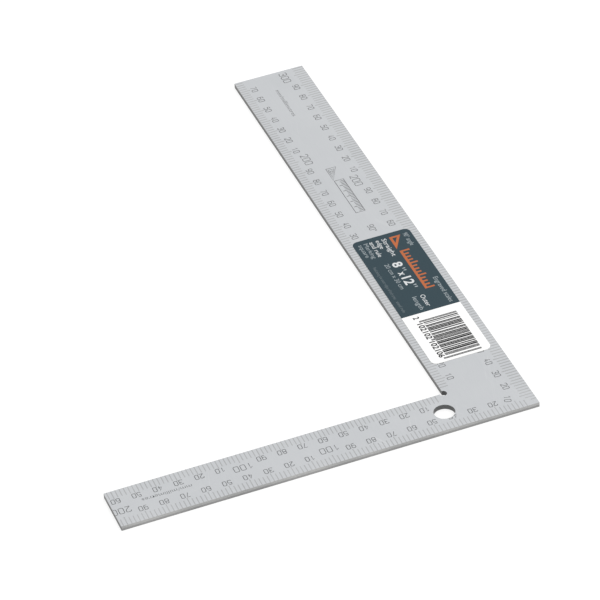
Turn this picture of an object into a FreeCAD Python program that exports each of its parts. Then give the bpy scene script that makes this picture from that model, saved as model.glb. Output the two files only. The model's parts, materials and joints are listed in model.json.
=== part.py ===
import FreeCAD, Part
import math
import os

# L-shaped steel square ruler, in millimetres.
# The long arm runs along +Y and the tongue along -X, both from the heel, the square outer corner.
# The flat back lies on Z = 0 and the origin is the middle of the overall rectangle.

# Plate
long_arm_length = 304.8       # 12 in, along the outer edge
tongue_length = 203.2         # 8 in, along the outer edge
long_arm_width = 37.5
tongue_width = 25.0
plate_thickness = 2.5
corner_radius = 0.5           # the four free corners and the heel, barely rounded
edge_break = 0.2              # small chamfer round the front and back edges

# Hole for a peg or hook, beside the heel in the middle of the tongue's width
hang_hole_diameter = 10.0
hang_hole_from_long_arm = 4.6  # from the line of the long arm's inner edge

# Round relief that keeps the inner corner clear of burrs and glue
relief_diameter = 3.5

# Self-adhesive label on the front of the long arm, layer on layer
label_length = 104.0
label_width = 30.0
label_corner_radius = 3.0
label_from_heel = 46.2        # outer tongue edge to the label's near end
adhesive_thickness = 0.05
stock_thickness = 0.10
ink_thickness = 0.02
panel_length = 65.2           # dark printed field, from the label's far end

# Places that follow from the sizes
heel_x = tongue_length / 2
heel_y = -long_arm_length / 2
tongue_end_x = heel_x - tongue_length
far_end_y = heel_y + long_arm_length
inner_x = heel_x - long_arm_width
inner_y = heel_y + tongue_width
hang_hole_x = inner_x - hang_hole_from_long_arm
hang_hole_y = heel_y + tongue_width / 2
label_mid_x = heel_x - long_arm_width / 2
label_near_y = heel_y + label_from_heel
label_far_y = label_near_y + label_length
panel_near_y = label_far_y - panel_length


def corner_arc(center, radius, start_degrees):
    """Quarter arc of a rounded corner, anticlockwise from the given direction."""
    def at(degrees):
        angle = math.radians(degrees)
        return center + FreeCAD.Vector(math.cos(angle), math.sin(angle), 0) * radius
    return Part.Arc(at(start_degrees), at(start_degrees + 45), at(start_degrees + 90)).toShape()


def rounded_slab(x0, x1, y0, y1, z, thickness, near_radius, far_radius):
    """Flat slab whose corners are rounded at its near (low Y) and far (high Y) ends."""
    corners = [
        (x1, y1, -1, -1, far_radius, 0),
        (x0, y1, 1, -1, far_radius, 90),
        (x0, y0, 1, 1, near_radius, 180),
        (x1, y0, -1, 1, near_radius, 270),
    ]
    starts = []
    ends = []
    arcs = []
    for x, y, side_x, side_y, radius, start in corners:
        if radius > 0:
            center = FreeCAD.Vector(x + side_x * radius, y + side_y * radius, z)
            arc = corner_arc(center, radius, start)
            arcs.append(arc)
            starts.append(arc.valueAt(arc.FirstParameter))
            ends.append(arc.valueAt(arc.LastParameter))
        else:
            arcs.append(None)
            starts.append(FreeCAD.Vector(x, y, z))
            ends.append(FreeCAD.Vector(x, y, z))
    edges = []
    for index in range(4):
        if arcs[index]:
            edges.append(arcs[index])
        edges.append(Part.makeLine(ends[index], starts[(index + 1) % 4]))
    return Part.Face(Part.Wire(edges)).extrude(FreeCAD.Vector(0, 0, thickness))


def upright_cylinder(x, y, diameter):
    """Cutter that passes right through the plate."""
    bottom = FreeCAD.Vector(x, y, -1)
    return Part.makeCylinder(diameter / 2, plate_thickness + 2, bottom, FreeCAD.Vector(0, 0, 1))


def edges_along_z(shape, points):
    """The upright edges of the shape that stand on the given corners."""
    found = []
    for edge in shape.Edges:
        middle = edge.CenterOfMass
        upright = abs(edge.tangentAt(edge.FirstParameter).z) > 0.99
        if upright and any(math.hypot(middle.x - x, middle.y - y) < 0.01 for x, y in points):
            found.append(edge)
    return found


def make_blade():
    """The one-piece plate: outline, rounded corners, broken edges, relief and hang hole."""
    outline = [
        (heel_x, heel_y),
        (heel_x, far_end_y),
        (inner_x, far_end_y),
        (inner_x, inner_y),
        (tongue_end_x, inner_y),
        (tongue_end_x, heel_y),
    ]
    points = [FreeCAD.Vector(x, y, 0) for x, y in outline]
    plate = Part.Face(Part.makePolygon(points + points[:1]))
    plate = plate.extrude(FreeCAD.Vector(0, 0, plate_thickness))
    free_corners = [corner for corner in outline if corner != (inner_x, inner_y)]
    plate = plate.makeFillet(corner_radius, edges_along_z(plate, free_corners))
    plate = plate.cut(upright_cylinder(inner_x, inner_y, relief_diameter))
    rims = [edge for edge in plate.Edges if edge.BoundBox.ZLength < 0.001]
    plate = plate.makeChamfer(edge_break, rims)
    plate = plate.cut(upright_cylinder(hang_hole_x, hang_hole_y, hang_hole_diameter))
    return plate.Solids[0]


def make_label_layer(near_y, near_radius, bottom, thickness):
    """One layer of the label, from near_y to the label's far end."""
    half_width = label_width / 2
    return rounded_slab(label_mid_x - half_width, label_mid_x + half_width, near_y, label_far_y,
                        bottom, thickness, near_radius, label_corner_radius)


stock_bottom = plate_thickness + adhesive_thickness
ink_bottom = stock_bottom + stock_thickness

parts = {
    "blade": make_blade(),
    "label_adhesive": make_label_layer(label_near_y, label_corner_radius,
                                       plate_thickness, adhesive_thickness),
    "label_stock": make_label_layer(label_near_y, label_corner_radius,
                                    stock_bottom, stock_thickness),
    "label_panel_ink": make_label_layer(panel_near_y, 0, ink_bottom, ink_thickness),
}

os.makedirs("parts", exist_ok=True)
for name, shape in parts.items():
    shape.exportStep("parts/" + name + ".step")
    box = shape.BoundBox
    print(name, shape.ShapeType, "valid", shape.isValid(), "solids", len(shape.Solids),
          "volume", round(shape.Volume, 2), "mm3",
          "size", round(box.XLength, 3), round(box.YLength, 3), round(box.ZLength, 3))
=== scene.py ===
import json
import math

import bmesh
import bpy
from mathutils import Matrix, Quaternion, Vector


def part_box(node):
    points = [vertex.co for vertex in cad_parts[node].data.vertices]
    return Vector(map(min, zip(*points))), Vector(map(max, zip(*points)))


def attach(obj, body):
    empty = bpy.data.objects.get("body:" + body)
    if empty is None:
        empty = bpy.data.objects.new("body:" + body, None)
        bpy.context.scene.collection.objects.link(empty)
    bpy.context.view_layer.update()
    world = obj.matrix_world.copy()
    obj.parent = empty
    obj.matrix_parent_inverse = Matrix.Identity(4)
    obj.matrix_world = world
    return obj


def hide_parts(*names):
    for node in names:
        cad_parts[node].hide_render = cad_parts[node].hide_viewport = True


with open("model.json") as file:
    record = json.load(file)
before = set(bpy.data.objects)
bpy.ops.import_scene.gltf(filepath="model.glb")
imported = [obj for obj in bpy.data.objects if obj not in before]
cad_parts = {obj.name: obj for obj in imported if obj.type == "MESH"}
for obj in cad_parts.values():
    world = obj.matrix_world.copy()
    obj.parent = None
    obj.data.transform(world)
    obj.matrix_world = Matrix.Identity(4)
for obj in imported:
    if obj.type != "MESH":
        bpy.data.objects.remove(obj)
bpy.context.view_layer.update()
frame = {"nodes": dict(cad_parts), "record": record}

mm = 0.001
bladeLow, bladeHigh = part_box("blade")
stockLow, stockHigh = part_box("label_stock")
panelLow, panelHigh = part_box("label_panel_ink")
mountAt = {mount["name"]: Vector(mount["pos_m"]) for mount in frame["record"]["mounts"]}
mountDims = {mount["name"]: mount["dims"] for mount in frame["record"]["mounts"]}

heel = Vector((bladeHigh.x, bladeLow.y))                # outer corner of the square
innerCorner = Vector((mountAt["inner_long_edge"].x, mountAt["inner_tongue_edge"].y))
frontZ = bladeHigh.z                                    # engraved face of the steel
readDown = Matrix.Rotation(math.radians(-90), 4, "Z")   # reads towards the heel, tops to the outer edge
readOut = Matrix.Rotation(math.radians(180), 4, "Z")    # reads along the tongue, tops to the outer edge


def keepPiece(name, mesh):
    piece = bpy.data.objects.new(name, mesh)
    bpy.context.scene.collection.objects.link(piece)
    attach(piece, "root")
    return piece


def meshFrom(bm, name):
    mesh = bpy.data.meshes.new(name)
    bm.to_mesh(mesh)
    bm.free()
    return mesh


def finishedMesh(item):
    # an object's own mesh, after its modifiers or its curve settings
    return bpy.data.meshes.new_from_object(item.evaluated_get(bpy.context.evaluated_depsgraph_get()))


def closedMeshOf(curve, mergeDistance):
    # a curve or a word made a mesh, with its doubles merged and its faces turned outwards
    holder = bpy.data.objects.new("holder", curve)
    bpy.context.scene.collection.objects.link(holder)
    mesh = finishedMesh(holder)
    bpy.data.objects.remove(holder)
    bm = bmesh.new()
    bm.from_mesh(mesh)
    bmesh.ops.remove_doubles(bm, verts=bm.verts, dist=mergeDistance)
    bmesh.ops.recalc_face_normals(bm, faces=bm.faces)
    bm.to_mesh(mesh)
    bm.free()
    return mesh


def addBlock(bm, low, high):
    # a plain block between two corners; gives its vertices back
    low, high = Vector(low), Vector(high)
    verts = bmesh.ops.create_cube(bm, size=1)["verts"]
    bmesh.ops.scale(bm, verts=verts, vec=high - low)
    bmesh.ops.translate(bm, verts=verts, vec=(low + high) / 2)
    return verts


def addPlaced(bm, mesh, place):
    # a copy of a mesh, moved to its place
    before = len(bm.verts)
    bm.from_mesh(mesh)
    bm.verts.ensure_lookup_table()
    bmesh.ops.transform(bm, matrix=place, verts=bm.verts[before:])


def raiseFaces(bm, faces, height):
    # flat faces given their thickness
    grown = bmesh.ops.extrude_face_region(bm, geom=faces)["geom"]
    upper = [item for item in grown if isinstance(item, bmesh.types.BMVert)]
    bmesh.ops.translate(bm, verts=upper, vec=(0, 0, height))
    bmesh.ops.recalc_face_normals(bm, faces=bm.faces)


def cutInto(mesh, cutter):
    # takes the cutter's closed shapes out of the mesh; the cut faces keep the cutter's material
    body = bpy.data.objects.new("cutBody", mesh)
    tool = bpy.data.objects.new("cutTool", cutter)
    for item in (body, tool):
        bpy.context.scene.collection.objects.link(item)
    cut = body.modifiers.new("cut", "BOOLEAN")
    cut.operation = "DIFFERENCE"
    cut.solver = "MANIFOLD"
    cut.material_mode = "TRANSFER"
    cut.object = tool
    result = finishedMesh(body)
    bpy.data.objects.remove(body)
    bpy.data.objects.remove(tool)
    return result


def extentOf(mesh, axis):
    places = [vert.co[axis] for vert in mesh.vertices]
    return max(places) - min(places)


# node helpers: an input is given by its name, or as i and its number where names repeat
def makeGroup(name, inputs, outputs):
    group = bpy.data.node_groups.new(name, "ShaderNodeTree")
    for socketName, socketType, value in inputs:
        socket = group.interface.new_socket(name=socketName, in_out="INPUT", socket_type=socketType)
        socket.default_value = value
    for socketName, socketType in outputs:
        group.interface.new_socket(name=socketName, in_out="OUTPUT", socket_type=socketType)
    return group, group.nodes.new("NodeGroupInput"), group.nodes.new("NodeGroupOutput")


def addNode(tree, kind, settings=None, **inputs):
    node = tree.nodes.new("ShaderNode" + kind)
    for key, value in (settings or {}).items():
        setattr(node, key, value)
    for key, value in inputs.items():
        socket = node.inputs[int(key[1:])] if key[0] == "i" and key[1:].isdigit() else node.inputs[key]
        if isinstance(value, bpy.types.NodeSocket):
            tree.links.new(value, socket)
        else:
            socket.default_value = value
    return node


def rampBetween(tree, fac, stops):
    ramp = addNode(tree, "ValToRGB", i0=fac)
    points = ramp.color_ramp.elements
    while len(points) < len(stops):
        points.new(0.5)
    for point, (at, shade) in zip(points, stops):
        point.position = at
        point.color = (shade, shade, shade, 1)
    return ramp.outputs[0]


def mixColour(tree, mask, under, over, blend="MIX"):
    # a plain colour laid over another, as far as the mask says
    mix = addNode(tree, "Mix", {"data_type": "RGBA", "blend_type": blend}, i0=mask, i6=under, i7=(*over, 1))
    return mix.outputs[2]


def startMaterial(name):
    material = bpy.data.materials.new(name)
    material.use_nodes = True
    tree = material.node_tree
    return material, tree, tree.nodes["Principled BSDF"]


def placeGroup(tree, group, settings=None):
    node = tree.nodes.new("ShaderNodeGroup")
    node.node_tree = group
    for name, value in (settings or {}).items():
        node.inputs[name].default_value = value
    return node


# sheet grain: fine rolled lines along the long arm, with slow clouds under them
def buildSheetGrain():
    group, given, out = makeGroup("sheetGrain", [
        ("Line Density", "NodeSocketFloat", 2600.0),
        ("Line Stretch", "NodeSocketFloat", 0.03),
        ("Cloud Density", "NodeSocketFloat", 38.0),
    ], [("Tone", "NodeSocketFloat"), ("Height", "NodeSocketFloat")])
    where = addNode(group, "TexCoord").outputs["Object"]
    stretch = addNode(group, "CombineXYZ", X=1.0, Z=1.0)
    group.links.new(given.outputs["Line Stretch"], stretch.inputs["Y"])
    squeezed = addNode(group, "VectorMath", {"operation": "MULTIPLY"}, i0=where, i1=stretch.outputs[0])
    lines = addNode(group, "TexNoise", Vector=squeezed.outputs[0], Detail=3.0, Roughness=0.6)
    group.links.new(given.outputs["Line Density"], lines.inputs["Scale"])
    clouds = addNode(group, "TexNoise", Vector=where, Detail=4.0, Roughness=0.55)
    group.links.new(given.outputs["Cloud Density"], clouds.inputs["Scale"])
    pits = addNode(group, "TexNoise", Vector=where, Scale=1800.0, Detail=2.0)
    blend = addNode(group, "Mix", {"data_type": "FLOAT"}, i0=0.6, i2=lines.outputs[0], i3=clouds.outputs[0])
    height = addNode(group, "Math", {"operation": "MULTIPLY_ADD"}, i0=pits.outputs[0], i1=0.5)
    group.links.new(lines.outputs[0], height.inputs[2])
    group.links.new(blend.outputs[0], out.inputs["Tone"])
    group.links.new(height.outputs[0], out.inputs["Height"])
    return group


# wear on the broken edges: faces that slope between flat and upright, broken up by noise
def buildEdgeWear():
    group, given, out = makeGroup("edgeWear", [
        ("Break Up", "NodeSocketFloat", 420.0),
    ], [("Mask", "NodeSocketFloat")])
    coordinates = addNode(group, "TexCoord")
    tilt = addNode(group, "SeparateXYZ", Vector=coordinates.outputs["Normal"])
    steep = addNode(group, "Math", {"operation": "ABSOLUTE"}, i0=tilt.outputs["Z"])
    slope = rampBetween(group, steep.outputs[0], [(0.12, 0.0), (0.35, 1.0), (0.9, 1.0), (0.985, 0.0)])
    noise = addNode(group, "TexNoise", Vector=coordinates.outputs["Object"], Detail=3.0)
    group.links.new(given.outputs["Break Up"], noise.inputs["Scale"])
    patches = rampBetween(group, noise.outputs[0], [(0.38, 0.35), (0.62, 1.0)])
    mask = addNode(group, "Math", {"operation": "MULTIPLY"}, i0=slope, i1=patches)
    group.links.new(mask.outputs[0], out.inputs["Mask"])
    return group


# bands that a punch leaves on a sheared edge: burnished above, torn and darker below; walls that face
# along X are also darkened, a painted side shade
def buildShearBands():
    group, given, out = makeGroup("shearBandsAndSideShade", [
        ("Break Height", "NodeSocketFloat", 0.0012),
        ("Raggedness", "NodeSocketFloat", 0.0005),
    ], [("Torn", "NodeSocketFloat"), ("Painted Side Shade", "NodeSocketFloat")])
    coordinates = addNode(group, "TexCoord")
    where = coordinates.outputs["Object"]
    # how far a wall faces along X: the mask of the painted side shade
    sideways = addNode(group, "SeparateXYZ", Vector=coordinates.outputs["Normal"])
    across = addNode(group, "Math", {"operation": "ABSOLUTE"}, i0=sideways.outputs["X"])
    noise = addNode(group, "TexNoise", Vector=where, Scale=260.0, Detail=5.0, Roughness=0.7)
    centred = addNode(group, "Math", {"operation": "SUBTRACT"}, i0=noise.outputs[0], i1=0.5)
    ragged = addNode(group, "Math", {"operation": "MULTIPLY_ADD"}, i0=centred.outputs[0])
    group.links.new(given.outputs["Raggedness"], ragged.inputs[1])
    group.links.new(given.outputs["Break Height"], ragged.inputs[2])
    upward = addNode(group, "SeparateXYZ", Vector=where)
    above = addNode(group, "Math", {"operation": "SUBTRACT"}, i0=upward.outputs["Z"], i1=ragged.outputs[0])
    soft = 0.12 * mm                                    # half the width of the change between the bands
    torn = addNode(group, "MapRange", {"interpolation_type": "SMOOTHSTEP"}, i0=above.outputs[0],
                   i1=-soft, i2=soft, i3=1.0, i4=0.0)
    group.links.new(torn.outputs[0], out.inputs["Torn"])
    group.links.new(across.outputs[0], out.inputs["Painted Side Shade"])
    return group


# fine scratches: thin lines where a stretched noise crosses its middle, kept in a few patches
def buildFineScratches():
    group, given, out = makeGroup("fineScratches", [
        ("Scratch Density", "NodeSocketFloat", 260.0),
        ("Slant", "NodeSocketFloat", 0.0),
    ], [("Mask", "NodeSocketFloat")])
    where = addNode(group, "TexCoord").outputs["Object"]
    turned = addNode(group, "VectorRotate", {"rotation_type": "Z_AXIS"}, Vector=where)
    group.links.new(given.outputs["Slant"], turned.inputs["Angle"])
    drawn = addNode(group, "VectorMath", {"operation": "MULTIPLY"}, i0=turned.outputs[0], i1=(1.0, 0.02, 1.0))
    noise = addNode(group, "TexNoise", Vector=drawn.outputs[0], Detail=1.0)
    group.links.new(given.outputs["Scratch Density"], noise.inputs["Scale"])
    line = rampBetween(group, noise.outputs[0], [(0.494, 0.0), (0.5, 1.0), (0.506, 0.0)])
    patches = addNode(group, "TexNoise", Vector=turned.outputs[0], Scale=45.0, Detail=2.0)
    kept = rampBetween(group, patches.outputs[0], [(0.5, 0.0), (0.66, 0.7)])
    mask = addNode(group, "Math", {"operation": "MULTIPLY"}, i0=line, i1=kept)
    group.links.new(mask.outputs[0], out.inputs["Mask"])
    return group


# paper tooth: the soft unevenness of printed label stock
def buildPaperTooth():
    group, given, out = makeGroup("paperTooth", [
        ("Tooth Density", "NodeSocketFloat", 2400.0),
    ], [("Tone", "NodeSocketFloat"), ("Height", "NodeSocketFloat")])
    where = addNode(group, "TexCoord").outputs["Object"]
    tooth = addNode(group, "TexNoise", Vector=where, Detail=4.0, Roughness=0.65)
    group.links.new(given.outputs["Tooth Density"], tooth.inputs["Scale"])
    slow = addNode(group, "TexNoise", Vector=where, Scale=70.0, Detail=2.0)
    blend = addNode(group, "Mix", {"data_type": "FLOAT"}, i0=0.5, i2=tooth.outputs[0], i3=slow.outputs[0])
    group.links.new(blend.outputs[0], out.inputs["Tone"])
    group.links.new(tooth.outputs[0], out.inputs["Height"])
    return group


sheetGrain = buildSheetGrain()
edgeWear = buildEdgeWear()
shearBandsAndSideShade = buildShearBands()
fineScratches = buildFineScratches()
paperTooth = buildPaperTooth()

# the steels: dark and light are the ends of the grain's tone; worn, torn, across (a painted side shade on
# walls that face along X) and scratched are laid over it, and slants are the scratches' angles to the long
# arm, in radians
steelValues = {
    "face": {
        "dark": (0.562, 0.578, 0.596), "light": (0.596, 0.610, 0.626),
        "rough": (0.36, 0.44), "bump": 0.08, "metallic": 0.92,
        "worn": (0.66, 0.67, 0.675), "scratched": (0.665, 0.675, 0.685), "slants": (0.3, -0.5),
    },
    "cutEdge": {
        "dark": (0.285, 0.287, 0.287), "light": (0.435, 0.435, 0.43),
        "rough": (0.45, 0.62), "bump": 0.35, "metallic": 0.45,
        # across darkens the walls that face along X: painted side shade
        "worn": (0.42, 0.42, 0.415), "torn": (0.72, 0.72, 0.72), "across": (0.43, 0.43, 0.43),
        "grain": {"Line Density": 1500.0, "Line Stretch": 0.6},
    },
    # the hole walls: steel painted far darker than the outer walls, as painted shade inside the holes
    "bore": {
        "dark": (0.07, 0.071, 0.072), "light": (0.13, 0.131, 0.132),
        "rough": (0.35, 0.55), "bump": 0.35, "metallic": 0.6,
        "grain": {"Line Density": 900.0, "Line Stretch": 0.9},
    },
    "digitGroove": {
        "dark": (0.15, 0.154, 0.158), "light": (0.22, 0.224, 0.228),
        "rough": (0.45, 0.6), "bump": 0.2, "metallic": 0.6,
        "grain": {"Line Density": 3200.0},
    },
    "tickGroove": {
        "dark": (0.40, 0.407, 0.413), "light": (0.49, 0.497, 0.503),
        "rough": (0.4, 0.5), "bump": 0.2, "metallic": 0.85,
        "grain": {"Line Density": 3200.0},
    },
}
steelGrainHeight = 0.04 * mm


def steelMaterial(name, values):
    material, tree, shader = startMaterial(name)
    grain = placeGroup(tree, sheetGrain, values.get("grain"))
    spread = addNode(tree, "MapRange", {"clamp": True}, i0=grain.outputs["Tone"], i1=0.35, i2=0.65)
    colour = mixColour(tree, spread.outputs[0], (*values["dark"], 1), values["light"])
    if "torn" in values:
        bands = placeGroup(tree, shearBandsAndSideShade)
        colour = mixColour(tree, bands.outputs["Torn"], colour, values["torn"], "MULTIPLY")
        # painted side shade: walls that face along X are darkened
        colour = mixColour(tree, bands.outputs["Painted Side Shade"], colour, values["across"], "MULTIPLY")
    for slant in values.get("slants", ()):
        scratches = placeGroup(tree, fineScratches, {"Slant": slant})
        colour = mixColour(tree, scratches.outputs["Mask"], colour, values["scratched"])
    if "worn" in values:
        wear = placeGroup(tree, edgeWear)
        colour = mixColour(tree, wear.outputs["Mask"], colour, values["worn"])
    smoothest, roughest = values["rough"]
    rough = addNode(tree, "MapRange", {"clamp": True}, i0=grain.outputs["Tone"], i1=0.3, i2=0.7,
                    i3=smoothest, i4=roughest)
    bump = addNode(tree, "Bump", Strength=values["bump"], Distance=steelGrainHeight,
                   Height=grain.outputs["Height"])
    tree.links.new(colour, shader.inputs["Base Color"])
    tree.links.new(rough.outputs[0], shader.inputs["Roughness"])
    tree.links.new(bump.outputs[0], shader.inputs["Normal"])
    shader.inputs["Metallic"].default_value = values["metallic"]
    return material


# the label's layers and inks: the tooth of the stock shows through every one
finishValues = {
    "stockPaper": {"dark": (0.90, 0.90, 0.895), "light": (0.96, 0.96, 0.955),
                   "rough": 0.5, "specular": 0.3},
    "adhesiveFilm": {"dark": (0.62, 0.60, 0.52), "light": (0.72, 0.70, 0.62),
                     "rough": 0.35, "specular": 0.4},
    "slateInk": {"dark": (0.021, 0.044, 0.057), "light": (0.028, 0.056, 0.071),
                 "rough": 0.5, "specular": 0.2},
    "orangeInk": {"dark": (0.44, 0.118, 0.036), "light": (0.50, 0.138, 0.046),
                  "rough": 0.5, "specular": 0.2},
    "whiteInk": {"dark": (0.62, 0.64, 0.65), "light": (0.70, 0.71, 0.72),
                 "rough": 0.55, "specular": 0.2},
    "softInk": {"dark": (0.31, 0.35, 0.37), "light": (0.38, 0.42, 0.44),
                "rough": 0.55, "specular": 0.2},
    "faintInk": {"dark": (0.12, 0.15, 0.165), "light": (0.15, 0.18, 0.195),
                 "rough": 0.55, "specular": 0.2},
    "blackInk": {"dark": (0.010, 0.010, 0.011), "light": (0.018, 0.018, 0.019),
                 "rough": 0.55, "specular": 0.15},
}
toothValues = {"roughSpread": 0.06, "bump": 0.15, "height": 0.02 * mm}


def finishMaterial(name, values):
    material, tree, shader = startMaterial(name)
    tooth = placeGroup(tree, paperTooth)
    colour = mixColour(tree, tooth.outputs["Tone"], (*values["dark"], 1), values["light"])
    spread = toothValues["roughSpread"]
    shine = addNode(tree, "MapRange", {"clamp": True}, i0=tooth.outputs["Tone"], i1=0.3, i2=0.7,
                    i3=values["rough"] - spread, i4=values["rough"] + spread)
    relief = addNode(tree, "Bump", Strength=toothValues["bump"], Distance=toothValues["height"],
                     Height=tooth.outputs["Height"])
    tree.links.new(colour, shader.inputs["Base Color"])
    tree.links.new(shine.outputs[0], shader.inputs["Roughness"])
    tree.links.new(relief.outputs[0], shader.inputs["Normal"])
    shader.inputs["Specular IOR Level"].default_value = values["specular"]
    return material


steels = {name: steelMaterial(name + "Steel", values) for name, values in steelValues.items()}
finishes = {name: finishMaterial(name, values) for name, values in finishValues.items()}
print("materials ready")


# the engraver's numerals: each digit is one or two runs of the tool, in a box one wide and one high
digitRuns = {
    "0": [("loop", [(0, .2), (0, 0), (.5, 0), (1, 0), (1, .2), (1, .8), (1, 1), (.5, 1), (0, 1), (0, .8)])],
    "1": [("corner", [(.1, .72), (.56, 1), (.56, 0)])],
    "2": [("bend", [(0, .74), (0, 1), (.5, 1), (1, 1), (1, .68), (.8, .42), (.04, .05)]),
          ("bend", [(0, 0), (.5, 0), (1, 0)])],
    "3": [("bend", [(0, .84), (0, 1), (.5, 1), (1, 1), (1, .55), (.62, .55), (.35, .55)]),
          ("bend", [(.55, .5), (1, .5), (1, .25), (1, 0), (.5, 0), (0, 0), (0, .16)])],
    "4": [("corner", [(.68, 1), (0, .28), (1, .28)]),
          ("corner", [(.7, .6), (.7, 0)])],
    "5": [("corner", [(.92, 1), (.1, 1), (.05, .6)]),
          ("bend", [(.06, .56), (.4, .64), (1, .64), (1, .3), (1, 0), (.5, 0), (0, 0), (0, .16)])],
    "6": [("loop", [(0, .3), (0, 0), (.5, 0), (1, 0), (1, .3), (1, .6), (.5, .6), (0, .6)]),
          ("bend", [(.02, .36), (0, .66), (.08, 1), (.5, 1), (.9, 1)])],
    "7": [("corner", [(0, 1), (1, 1), (.36, 0)])],
    "8": [("loop", [(.08, .78), (.08, 1), (.5, 1), (.92, 1), (.92, .78), (.92, .55), (.5, .55), (.08, .55)]),
          ("loop", [(0, .27), (0, 0), (.5, 0), (1, 0), (1, .27), (1, .52), (.5, .52), (0, .52)])],
}
digitRuns["9"] = [(kind, [(1 - x, 1 - y) for x, y in points]) for kind, points in digitRuns["6"]]


def toolRun(kind, points, toolRadius):
    # one pass of the round-nosed tool as a closed tube: loop and frame close on themselves, bend and
    # corner are open, and loop and bend run smoothly between their points
    smooth = kind in ("loop", "bend")
    curve = bpy.data.curves.new("toolRun", "CURVE")
    curve.dimensions = "3D"
    curve.bevel_depth = toolRadius
    curve.bevel_resolution = 1
    curve.use_fill_caps = True
    spline = curve.splines.new("NURBS" if smooth else "POLY")
    spline.points.add(len(points) - 1)
    for point, (x, y) in zip(spline.points, points):
        point.co = (x, y, 0, 1)
    spline.use_cyclic_u = kind in ("loop", "frame")
    if smooth:
        spline.use_endpoint_u = kind == "bend"
        spline.order_u = 4 if kind == "loop" else 3
        spline.resolution_u = 3
    return closedMeshOf(curve, 0.002 * mm)


def digitMeshes(width, height, toolRadius):
    # digit -> its first and second pass
    passes = {}
    for digit, runs in digitRuns.items():
        passes[digit] = [
            toolRun(kind, [((x - 0.5) * width, (y - 0.5) * height) for x, y in points], toolRadius)
            for kind, points in runs
        ]
    return passes


scaleValues = {
    "tickStep": 2,
    "tickDepth": 0.035 * mm,
    "tickFloor": 0.7,                                   # a tick's floor, as a share of its width
    "tickOverrun": 0.5 * mm,                            # the tick's tool starts outside the edge
    "longTickExtra": 1.1 * mm,                          # every ten
    "smallDigit": (1.6 * mm, 3.0 * mm, 2.45 * mm),      # width, height, pitch
    "largeDigit": (2.25 * mm, 3.8 * mm, 3.25 * mm),
    "sharedTen": (12.3 * mm, 8.6 * mm, -107),           # in from both outer edges, and its turn in degrees
    "toolRadius": 0.19 * mm,
    "toolLift": 0.04 * mm,                              # the tool's centre rides just above the face
}


def addNumber(passes, digits, number, place, pitch):
    start = -(len(number) - 1) / 2
    for index, digit in enumerate(number):
        shift = Matrix.Translation(((start + index) * pitch, 0, 0))
        for bm, mesh in zip(passes, digits[digit]):
            addPlaced(bm, mesh, place @ shift)


def addTick(bm, edgePoint, inward, length, width, depth):
    # a groove that runs in from the edge and narrows towards its floor
    verts = addBlock(bm, (-scaleValues["tickOverrun"], -width / 2, -depth), (length, width / 2, depth))
    for vert in verts:
        if vert.co.z < 0:
            vert.co.y *= scaleValues["tickFloor"]
    turn = Matrix.Rotation(math.atan2(inward[1], inward[0]), 4, "Z")
    bmesh.ops.transform(bm, matrix=Matrix.Translation((*edgePoint, frontZ)) @ turn, verts=verts)


# one row of the scale: the corner it starts from, which way it counts and which way is inward,
# how far its zero stands from that corner, the ticks it has, a tick's length and width, how its
# ticks shorten at the corner, and where its numbers stand: in from the edge, and past their own tick;
# lengths are in millimetres
scaleRows = {
    "longOuter": {
        "start": heel, "along": (0, 1), "inward": (-1, 0), "turn": readDown, "zero": -2.2,
        "ticks": (6, 306), "tick": (5.9, 0.78), "taper": -1,
        "numbers": (20, 300), "small": (9.7, -0.2), "large": (12.0, 0.3),
    },
    "longInner": {
        "start": innerCorner, "along": (0, 1), "inward": (1, 0), "turn": readDown, "zero": 0.5,
        "ticks": (4, 278), "tick": (4.2, 0.78), "taper": 1,
        "numbers": (10, 270), "small": (7.4, -0.3), "large": (9.5, 0.0),
    },
    "tongueOuter": {
        "start": heel, "along": (-1, 0), "inward": (0, 1), "turn": readOut, "zero": 0.0,
        "ticks": (6, 202), "tick": (4.8, 0.54), "taper": -1,
        "numbers": (20, 200), "small": (7.9, 0.0), "large": (10.1, -0.3),
    },
    "tongueInner": {
        "start": innerCorner, "along": (-1, 0), "inward": (0, -1), "turn": readOut, "zero": 2.4,
        "ticks": (2, 162), "tick": (5.2, 0.54), "taper": 1,
        "numbers": (10, 160), "small": (7.5, 0.0), "large": (10.0, -0.2),
    },
}


def addScaleRow(ticks, passes, row, smallDigits, largeDigits):
    start, along, inward = Vector(row["start"]), Vector(row["along"]), Vector(row["inward"])
    first, last = row["ticks"]
    tickLength, tickWidth = (side * mm for side in row["tick"])
    for value in range(first, last + 1, scaleValues["tickStep"]):
        distance = (value + row["zero"]) * mm
        length = tickLength
        if value % 10 == 0:
            length += scaleValues["longTickExtra"]
        length = min(length, distance + row["taper"] * mm)
        addTick(ticks, start + along * distance, inward, length, tickWidth, scaleValues["tickDepth"])
    first, last = row["numbers"]
    for value in range(first, last + 1, 10):
        isLarge = value % 100 == 0
        number = str(value) if isLarge else str(value % 100)
        inset, past = row["large" if isLarge else "small"]
        at = start + along * (value + row["zero"] + past) * mm + inward * inset * mm
        place = Matrix.Translation((at.x, at.y, frontZ + scaleValues["toolLift"])) @ row["turn"]
        digits = largeDigits if isLarge else smallDigits
        pitch = scaleValues["largeDigit" if isLarge else "smallDigit"][2]
        addNumber(passes, digits, number, place, pitch)


def addSharedTen(passes, smallDigits):
    # the two outer scales share one slanted 10 at the heel
    fromLong, fromTongue, turn = scaleValues["sharedTen"]
    corner = Matrix.Translation((heel.x - fromLong, heel.y + fromTongue, frontZ + scaleValues["toolLift"]))
    addNumber(passes, smallDigits, "10", corner @ Matrix.Rotation(math.radians(turn), 4, "Z"),
              scaleValues["smallDigit"][2])


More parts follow.
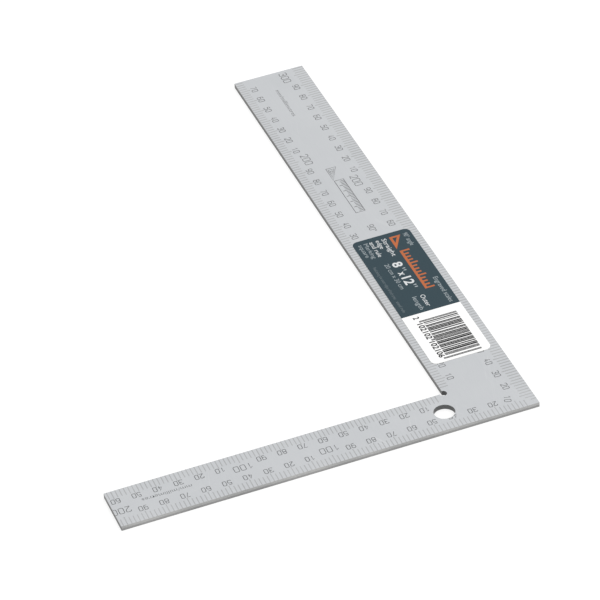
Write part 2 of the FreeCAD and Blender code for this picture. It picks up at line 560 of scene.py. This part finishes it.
def wordMesh(words, size, thickness, thicken=0.0):
    # words as closed flat letters, centred on their own middle
    curve = bpy.data.curves.new("word", "FONT")
    curve.body = words
    curve.size = size
    curve.align_x = "CENTER"
    curve.align_y = "CENTER"
    curve.extrude = thickness / 2
    curve.offset = thicken
    curve.resolution_u = 3
    return closedMeshOf(curve, 0.0005 * mm)


capitalShare = extentOf(wordMesh("H", 1.0, 0.001), 1)   # how much of a letter's size a capital fills
print("engraving tools ready")


bladeValues = {
    "cornerRadius": 0.3 * mm,
    "cornerSegments": 8,
    "edgeBreak": 0.12 * mm,
    "edgeBreakSegments": 2,
    "reliefRadius": 1.75 * mm,
    "hangHoleSegments": 96,
    "reliefSegments": 40,
    # the bore steel darkens the hole walls as painted shade
    "boreReach": 0.05 * mm,                             # a bore's steel goes this far past its radius
    "sliver": 0.001 * mm,
    "sharpAngle": 14,
}


def boreThrough(mesh, center, radius, segments):
    bm = bmesh.new()
    bmesh.ops.create_cone(bm, cap_ends=True, segments=segments, radius1=radius, radius2=radius,
                          depth=4 * (bladeHigh.z - bladeLow.z))
    bmesh.ops.translate(bm, verts=bm.verts, vec=(center.x, center.y, (bladeLow.z + bladeHigh.z) / 2))
    return cutInto(mesh, meshFrom(bm, "bore"))


def isUpright(edge):
    return abs(edge.verts[0].co.z - edge.verts[1].co.z) > mm


def isRim(edge):
    # a sharp edge between one of the two faces and a wall
    return (len(edge.link_faces) == 2 and math.degrees(edge.calc_face_angle(0)) > 80
            and sorted(abs(face.normal.z) > 0.9 for face in edge.link_faces) == [False, True])


def plainBlade():
    bm = bmesh.new()
    outline = [
        (bladeHigh.x, bladeLow.y), (bladeHigh.x, bladeHigh.y), (innerCorner.x, bladeHigh.y),
        (innerCorner.x, innerCorner.y), (bladeLow.x, innerCorner.y), (bladeLow.x, bladeLow.y),
    ]
    face = bm.faces.new([bm.verts.new((x, y, bladeLow.z)) for x, y in outline])
    raiseFaces(bm, [face], bladeHigh.z - bladeLow.z)
    corners = [edge for edge in bm.edges
               if isUpright(edge) and (edge.verts[0].co.xy - innerCorner).length > mm]
    bmesh.ops.bevel(bm, geom=corners, offset=bladeValues["cornerRadius"], offset_type="OFFSET",
                    affect="EDGES", segments=bladeValues["cornerSegments"], profile=0.5, material=-1)
    mesh = meshFrom(bm, "blade")

    hole, holeRadius = mountAt["hang_hole"].xy, mountDims["hang_hole"]["r_mm"] * mm
    mesh = boreThrough(mesh, hole, holeRadius, bladeValues["hangHoleSegments"])
    mesh = boreThrough(mesh, innerCorner, bladeValues["reliefRadius"], bladeValues["reliefSegments"])

    bm = bmesh.new()
    bm.from_mesh(mesh)
    bmesh.ops.bevel(bm, geom=[edge for edge in bm.edges if isRim(edge)], offset=bladeValues["edgeBreak"],
                    offset_type="OFFSET", affect="EDGES", segments=bladeValues["edgeBreakSegments"],
                    profile=0.5, material=-1, clamp_overlap=True)
    bores = [(hole, holeRadius), (innerCorner, bladeValues["reliefRadius"])]
    for face in bm.faces:
        middle = face.calc_center_median().xy
        if abs(face.normal.z) > 0.98:
            face.material_index = 0
        # faces of the hole walls take the bore steel, darkened as painted shade
        elif any((middle - center).length < radius + bladeValues["boreReach"] for center, radius in bores):
            face.material_index = 2
        else:
            face.material_index = 1
    mesh = meshFrom(bm, "plainBlade")
    for steel in ("face", "cutEdge", "bore"):
        mesh.materials.append(steels[steel])
    return mesh


# generic marks in place of lettering: a set square, a graduated bar, the angle and the unit
markValues = {
    "middle": heel.x - 19.7 * mm,                       # line of the marks along the long arm
    "toolRadius": scaleValues["toolRadius"] * 1.2,
    "triangle": (208.2 * mm, 10.4 * mm, 5.2 * mm),      # its middle from the heel, length, height
    "triangleShares": (1.0, 0.62, 0.25),                # its outlines, one inside the other
    "bar": (187.5 * mm, 29.4 * mm, 4.8 * mm),           # the same three
    "barTicks": 24,
    "barTickReach": (0.5, 0.8),                         # short and long, as shares of the bar's height
    "longTickEvery": 4,
    "angle": 158.5 * mm,                                # the 90 degree mark
    "degree": (3.1 * mm, 1.2 * mm, 0.3 * mm, 0.8),      # right of the 90, up, radius, share of the tool
    "unitLong": (276.6 * mm, 25.4 * mm, 2.3 * mm),      # from the heel, length, height
    "unitTongue": (176.8 * mm, 13.3 * mm, 23.8 * mm, 2.3 * mm),     # from the heel, in, length, height
    "unitWords": "mm/millimetres",
    "unitSize": 1.35,                                   # the letters' size, as a share of the unit's height
    "unitThickness": 0.24 * mm,                         # half of it stands above the face
    "unitThicken": -0.03 * mm,
}


def onLongArm(distance, z):
    return Matrix.Translation((markValues["middle"], heel.y + distance, z)) @ readDown


def addTriangleMark(bm, z):
    distance, length, height = markValues["triangle"]
    centerX, centerY = -length / 6, -height / 6
    for share in markValues["triangleShares"]:
        corners = [(-length / 2, -height / 2), (length / 2, -height / 2), (-length / 2, height / 2)]
        corners = [(centerX + (x - centerX) * share, centerY + (y - centerY) * share) for x, y in corners]
        addPlaced(bm, toolRun("frame", corners, markValues["toolRadius"]), onLongArm(distance, z))


def addBarMark(passes, z):
    distance, length, height = markValues["bar"]
    right, top = length / 2, height / 2
    frameRun = toolRun("frame", [(-right, -top), (right, -top), (right, top), (-right, top)],
                       markValues["toolRadius"])
    addPlaced(passes[0], frameRun, onLongArm(distance, z))
    shortReach, longReach = markValues["barTickReach"]
    for index in range(1, markValues["barTicks"]):
        x = -right + length * index / markValues["barTicks"]
        reach = height * (longReach if index % markValues["longTickEvery"] == 0 else shortReach)
        tickRun = toolRun("corner", [(x, top), (x, top - reach)], markValues["toolRadius"])
        addPlaced(passes[1], tickRun, onLongArm(distance, z))


def addAngleMark(passes, digits, z):
    place = onLongArm(markValues["angle"], z)
    addNumber(passes, digits, "90", place, scaleValues["smallDigit"][2])
    right, up, radius, toolShare = markValues["degree"]
    ring = [(0, 1), (-1, 1), (-1, 0), (-1, -1), (0, -1), (1, -1), (1, 0), (1, 1)]
    degree = toolRun("loop", [(right + x * radius, up + y * radius) for x, y in ring],
                     markValues["toolRadius"] * toolShare)
    addPlaced(passes[0], degree, place)


def addUnitWords(bm, place, length, height):
    mesh = wordMesh(markValues["unitWords"], height * markValues["unitSize"], markValues["unitThickness"],
                    thicken=markValues["unitThicken"])
    addPlaced(bm, mesh, place @ Matrix.Diagonal((length / extentOf(mesh, 0), 1, 1, 1)))


def addMarks(passes, digits):
    z = frontZ + scaleValues["toolLift"]
    addTriangleMark(passes[0], z)
    addBarMark(passes, z)
    addAngleMark(passes, digits, z)
    distance, length, height = markValues["unitLong"]
    addUnitWords(passes[0], onLongArm(distance, frontZ), length, height)
    distance, inset, length, height = markValues["unitTongue"]
    onTongue = Matrix.Translation((heel.x - distance, heel.y + inset, frontZ)) @ readOut
    addUnitWords(passes[0], onTongue, length, height)


def buildBlade():
    mesh = plainBlade()
    print("plain blade", len(mesh.polygons), "faces")
    smallDigits = digitMeshes(*scaleValues["smallDigit"][:2], scaleValues["toolRadius"])
    largeDigits = digitMeshes(*scaleValues["largeDigit"][:2], scaleValues["toolRadius"])
    ticks, firstPass, secondPass = bmesh.new(), bmesh.new(), bmesh.new()
    passes = (firstPass, secondPass)
    for row in scaleRows.values():
        addScaleRow(ticks, passes, row, smallDigits, largeDigits)
    addSharedTen(passes, smallDigits)
    addMarks(passes, smallDigits)
    for name, bm, steel in (("ticks", ticks, "tickGroove"), ("first pass", firstPass, "digitGroove"),
                            ("second pass", secondPass, "digitGroove")):
        cutter = meshFrom(bm, name)
        cutter.materials.append(steels[steel])
        mesh = cutInto(mesh, cutter)
        print("engraved", name, len(mesh.polygons), "faces")

    # clear the slivers, then the in-line vertices, that the cuts leave
    bm = bmesh.new()
    bm.from_mesh(mesh)
    bmesh.ops.dissolve_degenerate(bm, dist=bladeValues["sliver"], edges=bm.edges)
    bmesh.ops.dissolve_verts(bm, verts=[vert for vert in bm.verts if len(vert.link_edges) == 2])
    for face in bm.faces:
        face.smooth = True
    bm.to_mesh(mesh)
    bm.free()
    mesh.name = "engravedBlade"
    mesh.set_sharp_from_angle(angle=math.radians(bladeValues["sharpAngle"]))
    blade = keepPiece("engravedBlade", mesh)
    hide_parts("blade")


buildBlade()
print("blade done")


# the label's prints: after the ink's height, everything is in millimetres, and a place is across from
# the label's far end and up from its middle line
labelValues = {
    "inkHeight": 0.008 * mm,
    "typeSize": 10,                                     # size that words are set in before they are fitted
    "setSquare": {"at": (8.6, 6.45), "size": (10.4, 5.9), "border": 1.3},
    "rule": {"at": (32.2, 6.55), "size": (33.0, 5.0), "spine": 1.3, "teeth": 13,
             "toothWidth": 1.1, "shortTooth": 3.6, "longEvery": 4},
    # words, left end, right end, baseline, height of a capital, how much bolder
    "whiteWords": [
        ("8", 23.3, 27.3, -3.45, 4.6, 0.17),
        ("12", 36.0, 42.4, -3.45, 4.6, 0.17),
        ("x", 31.5, 34.3, -3.45, 3.7, 0.12),
        ("Straight", 3.3, 18.2, -0.65, 2.3, 0.01),
        ("edge", 3.3, 10.4, -3.75, 2.3, 0.01),
        ("and rule", 3.3, 16.0, -7.05, 2.3, 0.01),
        ("Outer", 52.4, 61.8, -0.6, 2.3, 0.01),
    ],
    "softWords": [
        ("\"", 28.8, 31.2, -3.1, 4.2, -0.02),
        ("\"", 43.1, 45.6, -3.1, 4.2, -0.02),
        ("Marking", 3.3, 16.0, -10.0, 2.2, -0.01),
        ("square", 3.3, 14.0, -12.7, 2.2, -0.01),
        ("20 cm x 30 cm", 22.9, 44.3, -7.0, 2.3, -0.01),
        ("length", 52.4, 63.0, -4.6, 2.3, 0.0),
        ("90\u00b0 angle", 3.2, 13.9, 10.5, 2.4, 0.0),
        ("Engraved scales", 42.1, 63.2, 10.4, 2.4, 0.0),
    ],
    "faintWords": [
        ("Read along the outer edges of both arms", 22.8, 50.2, -12.8, 1.6, 0.0),
        ("steel rule", 52.4, 61.6, -12.8, 1.6, 0.01),
    ],
    "barcode": {
        "number": "2102102102106", "left": 70.8, "module": 0.33, "gain": 0.16,
        "top": 10.6, "bottom": -6.85, "guardBottom": -8.5,
        "digitBase": -10.3, "digitHeight": 2.8, "digitThicken": 0.12,
        # its digits in three groups: first, one past the last, left end, right end
        "digitGroups": [(0, 1, 67.2, 69.0), (1, 7, 72.6, 85.4), (7, 13, 87.6, 100.6)],
    },
}


def onLabel(across, up, z):
    return Matrix.Translation((
        (stockLow.x + stockHigh.x) / 2 + up * mm,
        stockHigh.y - across * mm,
        z,
    )) @ readDown


def printLayer(name, bm, ink):
    mesh = meshFrom(bm, name)
    mesh.materials.append(finishes[ink])
    keepPiece(name, mesh)


def addWords(bm, entry, z):
    # words set in one size, then fitted to their line's ends and to its capitals' height
    words, left, right, baseline, capital, thicken = entry
    typeSize = labelValues["typeSize"]
    scaleY = capital / (capitalShare * typeSize)
    mesh = wordMesh(words, typeSize * mm, labelValues["inkHeight"], thicken=thicken * mm / scaleY)
    low = min(vert.co.x for vert in mesh.vertices)
    high = max(vert.co.x for vert in mesh.vertices)
    scaleX = (right - left) * mm / (high - low)
    shape = Matrix.Diagonal((scaleX, scaleY, 1, 1)) @ Matrix.Translation((-(low + high) / 2, 0, 0))
    addPlaced(bm, mesh, onLabel((left + right) / 2, baseline + capital / 2, z) @ shape)


def buildWords():
    z = panelHigh.z + labelValues["inkHeight"] / 2
    for name, key, ink in (("labelWhiteWords", "whiteWords", "whiteInk"),
                           ("labelSoftWords", "softWords", "softInk"),
                           ("labelFaintWords", "faintWords", "faintInk")):
        bm = bmesh.new()
        for entry in labelValues[key]:
            addWords(bm, entry, z)
        printLayer(name, bm, ink)


def buildSetSquareMark():
    # a right triangle with its middle left open
    values = labelValues["setSquare"]
    right, top = (side / 2 * mm for side in values["size"])
    bm = bmesh.new()
    corners = ((-right, -top, 0), (right, -top, 0), (-right, top, 0))
    face = bm.faces.new([bm.verts.new(corner) for corner in corners])
    face.normal_update()
    bmesh.ops.inset_region(bm, faces=[face], thickness=values["border"] * mm,
                           use_boundary=True, use_even_offset=True)
    bmesh.ops.delete(bm, geom=[face], context="FACES")
    raiseFaces(bm, bm.faces[:], labelValues["inkHeight"])
    bmesh.ops.transform(bm, matrix=onLabel(*values["at"], panelHigh.z), verts=bm.verts)
    printLayer("labelSetSquareMark", bm, "orangeInk")


def buildRuleMark():
    # a strip of tooth and gap columns, with the tooth ones drawn out long or short
    values = labelValues["rule"]
    length, height = values["size"]
    bottom, pitch = -height / 2, (length - values["toothWidth"]) / (values["teeth"] - 1)
    columns = 2 * values["teeth"] - 1
    bm = bmesh.new()
    bmesh.ops.create_grid(bm, x_segments=columns, y_segments=1, size=0.5)
    for vert in bm.verts:
        tooth, side = divmod(round((vert.co.x + 0.5) * columns), 2)
        vert.co.x = tooth * pitch + side * values["toothWidth"] - length / 2
        vert.co.y = bottom + (values["spine"] if vert.co.y > 0 else 0)
    tops = [edge for edge in bm.edges if all(vert.co.y > bottom for vert in edge.verts)]
    tops.sort(key=lambda edge: edge.verts[0].co.x + edge.verts[1].co.x)
    for index, edge in enumerate(tops[::2]):
        reach = height if index % values["longEvery"] == 0 else values["shortTooth"]
        grown = bmesh.ops.extrude_edge_only(bm, edges=[edge])["geom"]
        bmesh.ops.translate(bm, verts=[item for item in grown if isinstance(item, bmesh.types.BMVert)],
                            vec=(0, reach - values["spine"], 0))
    bmesh.ops.scale(bm, verts=bm.verts, vec=(mm, mm, 1))
    raiseFaces(bm, bm.faces[:], labelValues["inkHeight"])
    bmesh.ops.transform(bm, matrix=onLabel(*values["at"], panelHigh.z), verts=bm.verts)
    printLayer("labelRuleMark", bm, "orangeInk")


# the widths of an ordinary retail bar code's four runs for each digit, and which of the six left
# digits are mirrored for each first digit
digitWidths = ["3211", "2221", "2122", "1411", "1132", "1231", "1114", "1312", "1213", "3112"]
mirroredInLeft = ["000000", "001011", "001101", "001110", "010011",
                  "011001", "011100", "010101", "010110", "011010"]


def barcodeBars(number):
    # the bars as (start, width, is a guard bar) in modules
    bars = []
    place = 0

    def addRuns(runs, startsWithBar, guard):
        nonlocal place
        isBar = startsWithBar
        for run in runs:
            if isBar:
                bars.append((place, int(run), guard))
            place += int(run)
            isBar = not isBar

    digits = [int(digit) for digit in number]
    addRuns("111", True, True)
    for digit, mirrored in zip(digits[1:7], mirroredInLeft[digits[0]]):
        runs = digitWidths[digit]
        addRuns(runs[::-1] if mirrored == "1" else runs, False, False)
    addRuns("11111", False, True)
    for digit in digits[7:]:
        addRuns(digitWidths[digit], True, False)
    addRuns("111", True, True)
    return bars


def buildBarcode():
    values = labelValues["barcode"]
    z = stockHigh.z
    bm = bmesh.new()
    spread = values["gain"] / 2
    for start, width, guard in barcodeBars(values["number"]):
        left, right = start * values["module"] - spread, (start + width) * values["module"] + spread
        bottom = values["guardBottom"] if guard else values["bottom"]
        verts = addBlock(bm, (left * mm, bottom * mm, 0),
                         (right * mm, values["top"] * mm, labelValues["inkHeight"]))
        bmesh.ops.transform(bm, matrix=onLabel(values["left"], 0, z), verts=verts)
    for first, end, left, right in values["digitGroups"]:
        entry = (values["number"][first:end], left, right, values["digitBase"], values["digitHeight"],
                 values["digitThicken"])
        addWords(bm, entry, z + labelValues["inkHeight"] / 2)
    printLayer("labelBarcode", bm, "blackInk")


def paint(node, finish):
    mesh = frame["nodes"][node].data
    mesh.materials.clear()
    mesh.materials.append(finishes[finish])


paint("label_adhesive", "adhesiveFilm")
paint("label_stock", "stockPaper")
paint("label_panel_ink", "slateInk")
buildWords()
buildSetSquareMark()
buildRuleMark()
buildBarcode()
print("label done")


stageValues = {
    "floorSize": 12.0,
    "floorGap": 0.05 * mm,                              # under the steel
    "floorColour": (0.36, 0.36, 0.36),
    "floorGlow": 0.70,                                  # a light table, so shadows stay faint
    "skyLevel": 1.045,
    "skyFall": (0.15, -0.10, 0.0),                      # brighter to the right and to the front
    "keyLight": {"place": (0.8, -1.5, 2.2), "aim": (0, 0, 0), "width": 2.0, "height": 1.6, "power": 9.0},
}


def buildFloor():
    bm = bmesh.new()
    bmesh.ops.create_grid(bm, x_segments=4, y_segments=4, size=stageValues["floorSize"] / 2)
    bmesh.ops.translate(bm, verts=bm.verts, vec=(0, 0, bladeLow.z - stageValues["floorGap"]))
    floor = bpy.data.objects.new("floor", meshFrom(bm, "floor"))
    bpy.context.scene.collection.objects.link(floor)
    material, tree, shader = startMaterial("paleFloor")
    shader.inputs["Base Color"].default_value = (*stageValues["floorColour"], 1)
    shader.inputs["Roughness"].default_value = 0.9
    shader.inputs["Specular IOR Level"].default_value = 0.0
    shader.inputs["Emission Color"].default_value = (1, 1, 1, 1)
    shader.inputs["Emission Strength"].default_value = stageValues["floorGlow"]
    # clear when seen from below, so the underside can be looked at
    side = addNode(tree, "NewGeometry")
    clear = addNode(tree, "BsdfTransparent")
    surface = addNode(tree, "MixShader", i0=side.outputs["Backfacing"],
                      i1=shader.outputs[0], i2=clear.outputs[0])
    tree.links.new(surface.outputs[0], tree.nodes["Material Output"].inputs["Surface"])
    floor.data.materials.append(material)


def addLight(name, place, aim, width, height, power):
    light = bpy.data.lights.new(name, "AREA")
    light.shape = "RECTANGLE"
    light.size = width
    light.size_y = height
    light.energy = power
    lamp = bpy.data.objects.new(name, light)
    lamp.location = place
    lamp.rotation_mode = "QUATERNION"
    lamp.rotation_quaternion = (Vector(aim) - Vector(place)).to_track_quat("-Z", "Y")
    bpy.context.scene.collection.objects.link(lamp)


def buildLights():
    world = bpy.data.worlds.new("softStudio")
    world.use_nodes = True
    tree = world.node_tree
    direction = addNode(tree, "TexCoord").outputs["Generated"]
    fall = addNode(tree, "VectorMath", {"operation": "DOT_PRODUCT"}, i0=direction, i1=stageValues["skyFall"])
    level = addNode(tree, "Math", {"operation": "ADD"}, i0=fall.outputs["Value"], i1=stageValues["skyLevel"])
    tree.links.new(level.outputs[0], tree.nodes["Background"].inputs["Strength"])
    tree.nodes["Background"].inputs["Color"].default_value = (1, 1, 1, 1)
    bpy.context.scene.world = world
    addLight("keyLight", **stageValues["keyLight"])


cameraValues = {
    "azimuth": -18.13,
    "elevation": 37.60,
    "roll": -4.63,
    "distance": 1.8144,
    "lens": 228.2,
    "lookAt": (0.029451, -0.033196, 0.0027055),
}


def buildCamera():
    azimuth = math.radians(cameraValues["azimuth"])
    elevation = math.radians(cameraValues["elevation"])
    back = Vector((math.sin(azimuth) * math.cos(elevation),
                   -math.cos(azimuth) * math.cos(elevation),
                   math.sin(elevation)))
    camera = bpy.data.objects.new("camera", bpy.data.cameras.new("camera"))
    camera.data.lens = cameraValues["lens"]
    camera.data.sensor_width = 36.0
    camera.data.clip_end = 50.0
    camera.location = Vector(cameraValues["lookAt"]) + back * cameraValues["distance"]
    camera.rotation_mode = "QUATERNION"
    roll = Quaternion((0, 0, 1), math.radians(cameraValues["roll"]))
    camera.rotation_quaternion = (-back).to_track_quat("-Z", "Y") @ roll
    bpy.context.scene.collection.objects.link(camera)
    bpy.context.scene.camera = camera


buildFloor()
buildLights()
buildCamera()
bpy.context.scene.view_settings.view_transform = "Standard"
print("stage ready")
